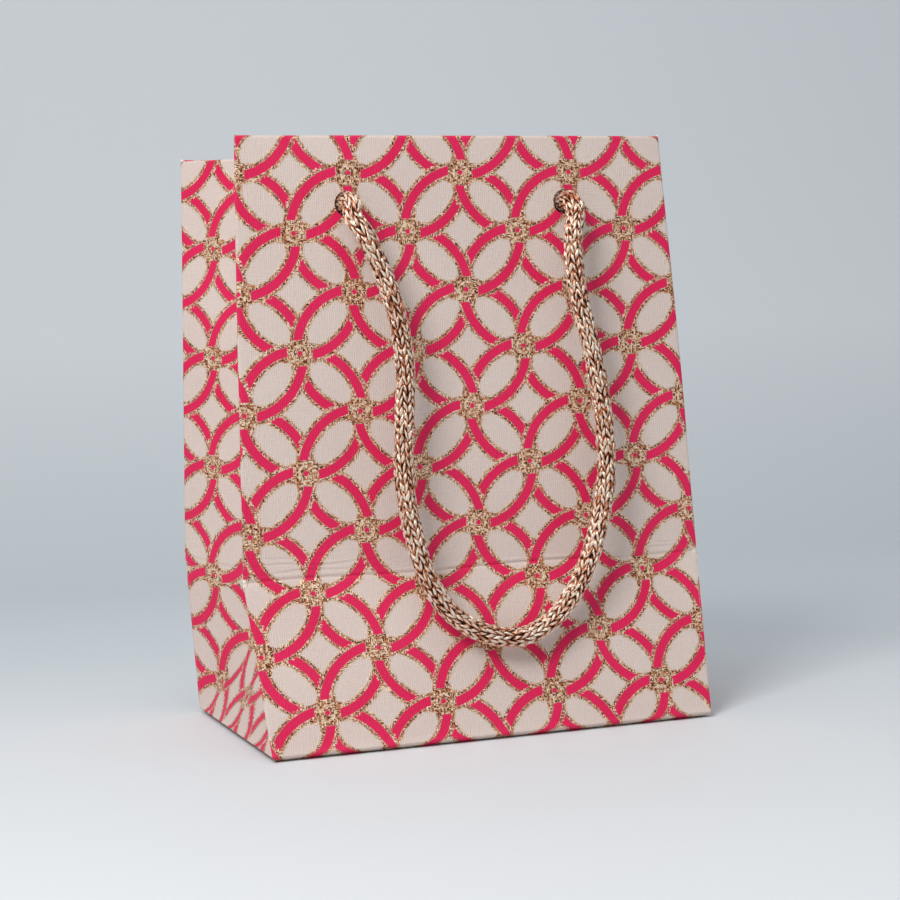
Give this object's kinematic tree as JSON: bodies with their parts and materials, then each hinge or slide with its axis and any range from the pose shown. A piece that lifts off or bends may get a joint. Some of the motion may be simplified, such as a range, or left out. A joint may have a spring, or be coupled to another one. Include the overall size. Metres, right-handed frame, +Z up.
{
  "type": "gift bag",
  "caption": "Small upright printed paper gift bag with folded side gussets, turned-in mouth, base board and two knotted braided cord handles.",
  "frame": {"origin": "middle of the bag's footprint on the surface it stands on, halfway between the front of the base and the back crease", "axes": "+Z up along the height, +Y from the front panel to the back panel, +X to the right seen from the front"},
  "size_m": [0.114, 0.0903, 0.1451],
  "materials": {
    "printed_paper": "linen-embossed paper printed with pink interlocking circles edged in copper glitter on a cream ground",
    "paper_inside": "plain off-white unprinted side of the paper, matt",
    "card": "plain off-white greyboard, matt",
    "cord": "braided rose-gold metallic lurex cord, glinting"
  },
  "bodies": {
    "bag": {"front_band": "printed_paper", "back_band": "printed_paper", "left_gusset_front": "printed_paper", "left_gusset_back": "printed_paper", "left_wing_front": "printed_paper", "left_wing_back": "printed_paper", "left_base_triangle": "printed_paper", "right_gusset_front": "printed_paper", "right_gusset_back": "printed_paper", "right_wing_front": "printed_paper", "right_wing_back": "printed_paper", "right_base_triangle": "printed_paper", "base_front_flap": "paper_inside", "base_back_flap": "paper_inside", "base_left_flap": "paper_inside", "base_right_flap": "paper_inside", "base_board": "card", "left_hem_front": "printed_paper", "left_hem_back": "printed_paper", "right_hem_front": "printed_paper", "right_hem_back": "printed_paper", "glue_seam_foot": "paper_inside"},
    "front_panel": {"front_panel": "printed_paper", "front_hem": "printed_paper", "front_strip": "card", "front_cord_ends": "cord", "front_left_knot": "cord", "front_right_knot": "cord"},
    "back_panel": {"back_panel": "printed_paper", "back_hem": "printed_paper", "back_strip": "card", "glue_seam": "paper_inside", "back_cord_ends": "cord", "back_left_knot": "cord", "back_right_knot": "cord"},
    "front_handle": {"front_handle_cord": "cord"},
    "back_handle": {"back_handle_cord": "cord"}
  },
  "joints": [
    {"name": "front_panel_fold", "type": "hinge", "parent": "bag", "child": "front_panel", "pos_m": [0, -0.0295, 0.0401], "axis": [1, 0, 0], "range_deg": [0, 5]},
    {"name": "back_panel_fold", "type": "hinge", "parent": "bag", "child": "back_panel", "pos_m": [0, 0.042, 0.0419], "axis": [-1, 0, 0], "range_deg": [0, 3]},
    {"name": "front_handle_swing", "type": "hinge", "parent": "front_panel", "child": "front_handle", "pos_m": [0, -0.034, 0.128], "axis": [-1, 0, 0], "range_deg": [0, 175]},
    {"name": "back_handle_swing", "type": "hinge", "parent": "back_panel", "child": "back_handle", "pos_m": [0, 0.0445, 0.129], "axis": [1, 0, 0], "range_deg": [0, 175]}
  ]
}
